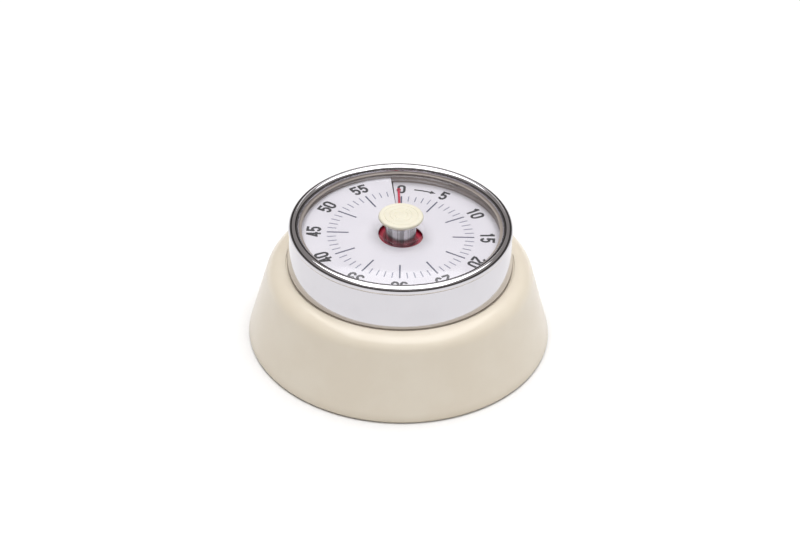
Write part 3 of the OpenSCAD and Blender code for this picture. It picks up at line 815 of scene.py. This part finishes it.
def make_base():
    """Shell whose leaning side runs into a round shoulder, with a groove for the drum's foot."""
    side_z = base_low.z + SHELL_EDGE
    apex_r = base_high.x - (base_high.z - side_z) * math.tan(SIDE_LEAN)
    groove_r = drum_r + GROOVE_GAP
    shoulder = (apex_r - groove_r) / math.tan((math.pi / 2 - SIDE_LEAN) / 2)
    inner_r = base_high.x - SHELL_SHEET / math.cos(SIDE_LEAN)
    inner_apex_r = apex_r - SHELL_SHEET * math.tan(math.pi / 4 - SIDE_LEAN / 2) - SHELL_CORNER_EASE
    lip_r = drum_r - MOVEMENT_GAP
    seat_z = drum_low.z
    outline = rounded(
        [
            (inner_r, base_low.z),
            (base_high.x - 0.5 * SHELL_EDGE, base_low.z, 0.15),
            (base_high.x, side_z, 0.4),
            (apex_r, base_high.z, shoulder),
            (groove_r, base_high.z - 0.04, 0.1),
            (groove_r, seat_z),
            (lip_r, seat_z),
            (lip_r, seat_z - SHELL_SHEET),
            (groove_r + SHELL_SHEET, seat_z - SHELL_SHEET),
            (inner_apex_r, base_high.z - SHELL_SHEET, INNER_SHOULDER_R),
        ],
        14,
    )
    turned_piece("enamelled_base", outline, "cream_enamel", "case", ["base_shell"])


def make_drum():
    """Drawn drum whose rim is rolled into a round bead."""
    lip_r = drum_r - MOVEMENT_GAP
    foot_top = drum_low.z + DRUM_SHEET
    inner_r = wall_top_r - DRUM_SHEET
    start = -math.degrees(math.acos((wall_top_r - bead_ring_r) / BEAD_R))
    end = 360 - math.degrees(math.acos((inner_r - bead_ring_r) / BEAD_R))
    outline = [
        Vector((lip_r, drum_low.z)),
        *arc(drum_r - 0.25, drum_low.z + 0.25, 0.25, -90, 0, 5),
        *arc(bead_ring_r, bead_z, BEAD_R, start, end, 40),
        Vector((drum_r - DRUM_SHEET, foot_top)),
        Vector((lip_r, foot_top)),
    ]
    turned_piece("chromed_drum", outline, "chrome_plate", "case", ["chrome_drum"], 38)


def make_surround():
    """Grey ring between dial and window, stepped in where the drum's bead comes down over it."""
    top_z = surround_high.z
    foot_r = dial_r - 0.1
    shelf_z = min(top_z, bead_z - BEAD_R) - 0.1
    neck_r = bead_ring_r - math.sqrt(max(0.0, BEAD_R**2 - (bead_z - top_z) ** 2)) - 0.1
    outline = rounded(
        [
            (foot_r, disc_low.z),
            (surround_high.x, surround_low.z),
            (surround_high.x, shelf_z, 0.05),
            (neck_r, shelf_z),
            (neck_r, top_z),
            (foot_r + 0.22, top_z, 0.05),
            (foot_r + 0.22, top_z - 0.35, 0.04),
            (foot_r + 0.06, top_z - 0.5, 0.08),
        ],
        5,
    )
    outline.insert(1, Vector((foot_r, surround_low.z)))
    turned_piece("dial_ring", outline, "satin_grey", "case", ["dial_surround"])


def make_window():
    """Clear pane with a hole in the middle for the knob's stem."""
    outline = rounded(
        [
            (DIAL_HOLE_R + 0.3, window_low.z, 0.08),
            (window_high.x, window_low.z, 0.08),
            (window_high.x, window_high.z, 0.08),
            (DIAL_HOLE_R + 0.3, window_high.z, 0.12),
        ],
        4,
    )
    turned_piece("window_pane", outline, "clear_window", "case", ["window"])


def make_window_ring():
    """Snap ring on the window, inside the bead."""
    inner_r = ring_high.x - WINDOW_RING_W
    outline = rounded(
        [
            (inner_r, ring_low.z, 0.05),
            (ring_high.x, ring_low.z),
            (ring_high.x, ring_high.z, 0.03),
            (inner_r, ring_high.z, 0.1),
        ],
        4,
    )
    turned_piece("window_snap_ring", outline, "satin_grey", "case", ["window_ring"])


def make_underside():
    """Ribbed rubber foot ring and slotted screws."""
    middle_r = foot_high.x - FOOT_W / 2
    outline = rounded(
        [
            (foot_high.x - FOOT_W, TREAD, 0.3),
            (foot_high.x, TREAD, 0.3),
            (foot_high.x, foot_high.z),
            (foot_high.x - FOOT_W, foot_high.z),
        ],
        5,
    )
    turned_piece("rubber_foot", outline, "foot_rubber", "case", ["foot_ring"])
    rubber = FINISHES["foot_rubber"]
    ribs = grown(
        "foot_ribs",
        ribs_tree("ribs", rubber),
        {
            "Count": 90,
            "Ring": mm(middle_r),
            "Length": mm(1.1),
            "Width": mm(0.45),
            "Height": mm(TREAD),
            "Level": mm(TREAD),
        },
    )
    piece("foot_ribs", ribs, rubber, "case", ())
    steel = FINISHES["plated_steel"]
    head_h = foot_high.z - head_low.z
    bearings = [math.radians(a) for a in (150, 250, 335)]
    ring = drum_r - SCREW_INSET
    spots = [(ring * math.cos(a), ring * math.sin(a), foot_high.z - head_h / 2) for a in bearings]
    heads = grown(
        "base_screw_heads",
        screws_tree("screws", steel),
        {"Radius": mm(SCREW_HEAD_R), "Height": mm(head_h), "Slot": mm(SCREW_SLOT)},
        spots,
    )
    piece("base_screw_heads", heads, steel, "case", ["base_screws"])


# ---------------------------------------------------------------- dial


def spiral_piece(name, inner, outer, start, sweep, height, sheet, slot, body, node):
    """Sheet between two radii that climbs with the dial, centred on height at the slit."""
    mesh = grown(
        name,
        spiral_sheet_tree(name + "_spiral", FINISHES[slot]),
        {
            "Inner": mm(inner),
            "Outer": mm(outer),
            "Start": start,
            "Sweep": sweep,
            "Height": mm(height),
            "Rise": mm(dial_rise),
            "Sheet": mm(sheet),
        },
    )
    piece(name, mesh, FINISHES[slot], body, [node])


def print_z(bearing):
    """Height of the dial's face at a bearing clockwise from its zero."""
    angle = (bearing - SLIT_ANGLE) % TURN
    return dial_z + dial_rise * angle / TURN + DIAL_SHEET / 2


def on_dial(r, bearing, lift):
    """Point above the dial's face at a radius and a bearing."""
    return (r * math.sin(bearing), r * math.cos(bearing), print_z(bearing) + lift)


def make_ticks(name, count, step, first, inner, width, finish):
    """Printed strokes every step minutes; first is 1 where the longer strokes are left out."""
    values = {
        "Count": count,
        "Step": step,
        "From": first,
        "Inner": mm(inner),
        "Outer": mm(TICK_OUTER_R),
        "Width": mm(width),
        "Ink": mm(INK_T),
        "Height": mm(dial_z + DIAL_SHEET / 2 + INK_MIDDLE),
        "Rise": mm(dial_rise),
    }
    piece(name, grown(name, ticks_tree(name, finish), values), finish, "case")


def bend(x, y, rx, ry, start, end, parts=9):
    """Points of a figure's round part, from one angle to another in degrees."""
    angles = [math.radians(start + (end - start) * k / parts) for k in range(parts + 1)]
    return [Vector((x + rx * math.cos(a), y + ry * math.sin(a))) for a in angles]


def line(*points):
    """Points of a figure's straight part."""
    return [Vector(p) for p in points]


# Centre lines of each figure's strokes, in millimetres from its middle
STROKES = {
    "0": [bend(0, 0.72, 0.67, 0.7, 0, 180) + bend(0, -0.72, 0.67, 0.7, 180, 360) + line((0.67, 0.72))],
    "1": [line((0.15, -1.67), (0.15, 1.67)), line((-0.5, 0.95), (-0.05, 1.05), (0.13, 1.5))],
    "2": [
        bend(0, 0.72, 0.67, 0.7, 175, -15) + line((-0.62, -1.0), (-0.67, -1.67)),
        line((-0.67, -1.42), (0.92, -1.42)),
    ],
    "3": [bend(0, 0.75, 0.64, 0.68, 165, -80), bend(0, -0.7, 0.67, 0.73, 80, -165)],
    "4": [line((0.3, 1.6), (-0.66, -0.6), (0.9, -0.6)), line((0.3, 1.67), (0.3, -1.67))],
    "5": [line((0.85, 1.42), (-0.5, 1.42), (-0.55, 0.1)) + bend(0, -0.5, 0.67, 0.9, 140, -160)],
}


def stroke_mesh(centre, x_shift, bearing):
    """Vertices and faces of one stroke of even width, laid on the dial's face."""
    closed = (centre[0] - centre[-1]).length < 0.01
    if closed:
        centre = centre[:-1]
    count = len(centre)
    verts = []
    for i, here in enumerate(centre):
        before = centre[i - 1] if i or closed else here * 2 - centre[1]
        after = centre[(i + 1) % count] if i < count - 1 or closed else here * 2 - centre[i - 1]
        back, ahead = (here - before).normalized(), (after - here).normalized()
        across = Vector((-back.y - ahead.y, back.x + ahead.x)).normalized()
        across *= STROKE_HALF / max(0.5, across.dot(Vector((-ahead.y, ahead.x))))
        for side, lift in ((1, -0.5), (1, 0.5), (-1, 0.5), (-1, -0.5)):
            x, y = here + across * side
            around = bearing + (x + x_shift) / FIGURE_R
            verts.append(on_dial(FIGURE_R + y, around, INK_MIDDLE + lift * INK_T))
    spans = range(count if closed else count - 1)
    faces = []
    for i in spans:
        here, there = 4 * i, 4 * ((i + 1) % count)
        faces += [(here + k, here + (k + 1) % 4, there + (k + 1) % 4, there + k) for k in range(4)]
    if not closed:
        faces += [(0, 1, 2, 3), tuple(4 * count - 4 + k for k in range(4))]
    return verts, faces


def figure_mesh(name, minutes):
    """One figure of the minute ring, bent round the dial and laid on its face."""
    digits = str(minutes)
    verts, faces = [], []
    for place, digit in enumerate(digits):
        x_shift = (place - (len(digits) - 1) / 2) * (FIGURE_W + FIGURE_GAP)
        for centre in STROKES[digit]:
            more_verts, more_faces = stroke_mesh(centre, x_shift, minutes / 60 * TURN)
            faces += [tuple(v + len(verts) for v in face) for face in more_faces]
            verts += more_verts
    return closed_mesh(name, verts, faces)


def make_figures():
    for minutes in range(0, 60, 5):
        name = f"figure_{minutes:02d}"
        piece(name, figure_mesh(name, minutes), figure_ink, "case")


def make_arrow():
    """Curved arrow between the first two figures, along their ring."""
    start, end, head = (math.radians(6 * m) for m in (1.45, 3.35, 0.62))
    half, barb = 0.2, 0.62
    parts = 12
    bearings = [start + (end - start) * k / parts for k in range(parts + 1)]
    outline = [(a, FIGURE_R + half) for a in bearings]
    outline += [(end, FIGURE_R + barb), (end + head, FIGURE_R), (end, FIGURE_R - barb)]
    outline += [(a, FIGURE_R - half) for a in reversed(bearings)]
    count = len(outline)
    lifts = (INK_MIDDLE - INK_T / 2, INK_MIDDLE + INK_T / 2)
    verts = [on_dial(r, a, lift) for lift in lifts for a, r in outline]
    faces = [(k, (k + 1) % count, (k + 1) % count + count, k + count) for k in range(count)]
    tip = parts + 2
    for base in (0, count):
        faces += [
            (base + k, base + k + 1, base + count - 2 - k, base + count - 1 - k)
            for k in range(parts)
        ]
        faces.append((base + parts, base + tip - 1, base + tip, base + tip + 1, base + tip + 2))
    piece("winding_arrow", closed_mesh("winding_arrow", verts, faces), figure_ink, "case")


def make_pointer():
    """Flat needle with a ring at its tip, fixed to the red disc's hub."""
    half_w, ring_out, ring_in = 0.265, 0.5, 0.225
    low_z, high_z = pointer_low.z, pointer_high.z
    tip = dial_r - POINTER_INSET
    start = HUB_R - 0.1
    end = tip - ring_out * 0.8
    bevel = 0.05
    outline = rounded(
        [
            (ring_in, low_z, bevel),
            (ring_out, low_z, bevel),
            (ring_out, high_z, bevel),
            (ring_in, high_z, bevel),
        ],
        4,
    )
    verts, faces = lathe(outline, 48, (0.0, tip))
    base = len(verts)
    section = rounded(
        [
            (-half_w, low_z, bevel),
            (half_w, low_z, bevel),
            (half_w, high_z, bevel),
            (-half_w, high_z, bevel),
        ],
        3,
    )
    verts += [(x, y, z) for y in (start, end) for x, z in section]
    n = len(section)
    faces += [(base + k, base + (k + 1) % n, base + n + (k + 1) % n, base + n + k) for k in range(n)]
    faces += [tuple(range(base, base + n)), tuple(range(base + n, base + 2 * n))]
    c, s = math.cos(-POINTER_BEARING), math.sin(-POINTER_BEARING)
    verts = [(x * c - y * s, x * s + y * c, z) for x, y, z in verts]
    mesh = closed_mesh("needle", verts, faces)
    piece("needle", mesh, FINISHES["red_sheet"], "red_disc", ["pointer"])


# ---------------------------------------------------------------- knob


def make_knob():
    """Round cap with three shallow rings pressed into its face."""
    r, top, low = cap_high.x, cap_high.z, cap_low.z
    edge = (top - low) * 0.42
    ring_shares, depth, half = (0.29, 0.5, 0.75), 0.13, 0.17
    face = [Vector((0, top - 0.02))]
    for share in ring_shares:
        for k in range(-4, 5):
            dip = depth * (0.5 + 0.5 * math.cos(math.pi * k / 4))
            face.append(Vector((r * share + half * k / 4, top - 0.015 - dip)))
    outline = [
        Vector((0, low)),
        Vector((r - 0.75, low)),
        *arc(r - edge, top - edge, edge, -50, 90, 16),
        *reversed(face),
    ]
    turned_piece("knob_top", outline, "cream_plastic", "knob", ["knob_cap"], 50)


def make_sleeve():
    """Chromed sleeve that flares out under the cap."""
    top = sleeve_high.z
    sweep = sleeve_high.x - SLEEVE_NECK_R
    flare = [
        Vector((SLEEVE_NECK_R + sweep * (1 - math.cos(a)), top - FLARE_H * (1 - math.sin(a))))
        for a in (math.radians(7.5 * k) for k in range(13))
    ]
    outline = [
        Vector((SLEEVE_BORE_R, sleeve_low.z)),
        Vector((SLEEVE_R, sleeve_low.z)),
        Vector((SLEEVE_R, top - NECK_DROP)),
        *flare,
        Vector((SLEEVE_BORE_R, top)),
    ]
    turned_piece("knob_stem", outline, "chrome_plate", "knob", ["knob_sleeve"], 40)


# ---------------------------------------------------------------- stage


def make_stage():
    """White floor, a large softbox overhead, a small one behind, and a dim room round them."""
    half = 2.5
    corners = [(-half, -half, 0), (half, -half, 0), (half, half, 0), (-half, half, 0)]
    mesh = bpy.data.meshes.new("floor")
    mesh.from_pydata(corners, [], [(0, 1, 2, 3)])
    mesh.materials.append(floor_paper())
    floor = bpy.data.objects.new("floor", mesh)
    bpy.context.scene.collection.objects.link(floor)

    soft_light("overhead", (0.05, 0.035, 0.9), 1.1, 1.13, 3.35)
    soft_light("far_panel", (0.03, 1.03, 0.9), 0.22, 0.32, 1.2)

    world = bpy.data.worlds.new("studio")
    world.use_nodes = True
    room = Bench(world.node_tree)
    way = room.node("ShaderNodeTexCoord", out="Generated")
    height = room.node("ShaderNodeSeparateXYZ", (), [way], "Z")
    # Stops run from level to straight up, with a dark band about 20 to 25 degrees up
    stops = [
        (0.0, (0.10, 0.094, 0.09, 1)),
        (0.25, (0.12, 0.112, 0.107, 1)),
        (0.33, (0.015, 0.014, 0.013, 1)),
        (0.42, (0.015, 0.014, 0.013, 1)),
        (0.5, (0.30, 0.278, 0.265, 1)),
        (1.0, (0.34, 0.325, 0.315, 1)),
    ]
    tone = room.node("ShaderNodeValToRGB", {"stops": stops}, [height])
    room.tree.links.new(tone.socket, world.node_tree.nodes["Background"].inputs["Color"])
    bpy.context.scene.world = world
    bpy.context.scene.view_settings.view_transform = "Standard"


def soft_light(name, place, width, length, brightness):
    """Panel that faces straight down. Brightness is what a mirror would show of it."""
    light = bpy.data.lights.new(name, "AREA")
    light.shape = "RECTANGLE"
    light.size, light.size_y = width, length
    light.energy = brightness * math.pi * width * length
    lamp = bpy.data.objects.new(name, light)
    lamp.location = place
    lamp.visible_camera = False
    bpy.context.scene.collection.objects.link(lamp)


def make_camera():
    """Camera in front, 36 degrees above the table, turned slightly about its own axis."""
    target = Vector((0, 0, 0.015))
    elevation, distance, roll = math.radians(36.05), 0.4467, math.radians(1.2)
    data = bpy.data.cameras.new("camera")
    data.lens, data.sensor_width = 87.24, 36
    data.shift_x, data.shift_y = 0.0003, 0.01175
    data.clip_start, data.clip_end = 0.01, 20
    camera = bpy.data.objects.new("camera", data)
    back = Vector((0, -math.cos(elevation), math.sin(elevation)))
    camera.location = target + back * distance
    camera.rotation_mode = "QUATERNION"
    camera.rotation_quaternion = (-back).to_track_quat("-Z", "Y") @ Quaternion((0, 0, 1), roll)
    bpy.context.scene.collection.objects.link(camera)
    bpy.context.scene.camera = camera


def paint_cad():
    """Every node that stays as built gets the finish of its slot in the record."""
    slots = {part["node"]: part["material_slot"] for part in frame["record"]["subparts"]}
    for name, obj in frame["nodes"].items():
        finish = FINISHES[slots[name]]
        if not obj.material_slots:
            obj.data.materials.append(finish)
        for one in obj.material_slots:
            one.material = finish


make_camera()
make_stage()
paint_cad()
make_base()
make_drum()
make_surround()
make_window()
make_window_ring()
make_underside()
spiral_piece(
    "dial_face", DIAL_HOLE_R, dial_r, SLIT_HALF, dial_sweep, dial_z, DIAL_SHEET,
    "white_dial", "case", "dial_plate",
)
spiral_piece(
    "red_time_disc", HUB_R - 0.1, disc_high.x, disc_start, DISC_SWEEP, disc_z, DISC_SHEET,
    "red_sheet", "red_disc", "time_disc",
)
# The hub's rim climbs with the disc and stays inside the hub's height
hub_rim_h = disc_low.z + DISC_SHEET + HUB_RIM_LIFT - hub_low.z
spiral_piece(
    "disc_hub_rim", HUB_R - HUB_RIM_W, HUB_R, disc_start, DISC_SWEEP,
    disc_z + DISC_SHEET / 2 + HUB_RIM_LIFT - hub_rim_h / 2, hub_rim_h,
    "red_moulding", "red_disc", "disc_hub",
)
make_ticks("five_minute_ticks", 12, 5, 0, FIVE_TICK_INNER_R, FIVE_TICK_W, tick_ink)
make_ticks("minute_ticks", 60, 1, 1, ONE_TICK_INNER_R, ONE_TICK_W, minute_ink)
make_figures()
make_arrow()
make_pointer()
make_knob()
make_sleeve()
